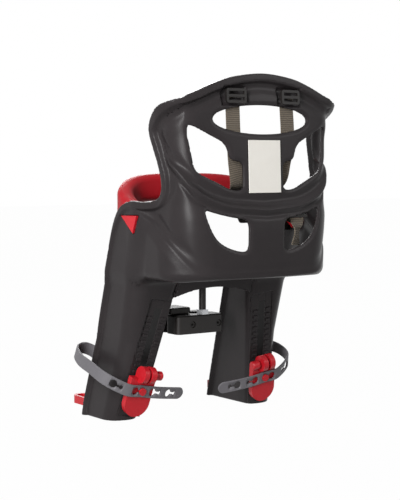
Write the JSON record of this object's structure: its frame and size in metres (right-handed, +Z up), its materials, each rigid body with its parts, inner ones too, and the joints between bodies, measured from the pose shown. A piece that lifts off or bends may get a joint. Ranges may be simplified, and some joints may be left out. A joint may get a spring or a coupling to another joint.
{
  "type": "child bike seat",
  "caption": "Front-mounted child bicycle seat: moulded bucket shell with an open back, leg guards with rack-set footrests and straps, front bar, harness and stem clamp.",
  "frame": {"origin": "on the axis of the clamp bore, at the middle height of the clamp", "axes": "+X to the child's left, +Y to the rear of the seat, +Z up"},
  "size_m": [0.384, 0.3367, 0.546],
  "materials": {
    "shell": "fine moulded grain",
    "red": "satin",
    "red_bar": "satin",
    "strap": "matte",
    "webbing": "woven",
    "clamp": "matte",
    "buckle": "satin",
    "steel": "zinc plated"
  },
  "bodies": {
    "seat": {"seat_shell": "shell", "front_bar": "red_bar", "clamp_rear_jaw": "clamp", "clamp_front_jaw": "clamp", "clamp_bolts": "steel", "clamp_nuts": "steel", "support_post": "steel", "post_nut": "steel", "mount_socket": "clamp", "mount_screws": "steel", "harness_shield": "buckle", "waist_slide": "buckle", "waist_strap": "webbing", "strap_tail": "webbing", "crotch_strap": "webbing", "buckle_socket": "buckle", "left_strap_adjuster": "buckle", "right_strap_adjuster": "buckle", "left_shoulder_strap": "webbing", "right_shoulder_strap": "webbing"},
    "buckle_release": {"buckle_button": "red"},
    "left_foot": {"left_footrest": "red", "left_footrest_lock": "red", "left_foot_strap": "strap"},
    "left_release": {"left_release_button": "red"},
    "left_latch": {"left_bar_latch": "red"},
    "right_foot": {"right_footrest": "red", "right_footrest_lock": "red", "right_foot_strap": "strap"},
    "right_release": {"right_release_button": "red"},
    "right_latch": {"right_bar_latch": "red"}
  },
  "joints": [
    {"name": "buckle_press", "type": "slide", "parent": "seat", "child": "buckle_release", "axis": [0, 0, -1], "range_m": [0, 0.0025], "stiffness_N_per_m": 400, "springref_m": -0.0005},
    {"name": "left_foot_slide", "type": "slide", "parent": "seat", "child": "left_foot", "axis": [-0.1521, 0.2531, 0.9554], "range_m": [0, 0.08]},
    {"name": "left_release_press", "type": "slide", "parent": "left_foot", "child": "left_release", "axis": [0.9884, 0.039, 0.147], "range_m": [0, 0.0025], "stiffness_N_per_m": 400, "springref_m": -0.0005},
    {"name": "left_latch_press", "type": "slide", "parent": "seat", "child": "left_latch", "axis": [-1, 0, 0], "range_m": [0, 0.0045], "stiffness_N_per_m": 500, "springref_m": -0.0005},
    {"name": "right_foot_slide", "type": "slide", "parent": "seat", "child": "right_foot", "axis": [0.1521, 0.2531, 0.9554], "range_m": [0, 0.08]},
    {"name": "right_release_press", "type": "slide", "parent": "right_foot", "child": "right_release", "axis": [-0.9884, 0.039, 0.147], "range_m": [0, 0.0025], "stiffness_N_per_m": 400, "springref_m": -0.0005},
    {"name": "right_latch_press", "type": "slide", "parent": "seat", "child": "right_latch", "axis": [1, 0, 0], "range_m": [0, 0.0045], "stiffness_N_per_m": 500, "springref_m": -0.0005}
  ]
}
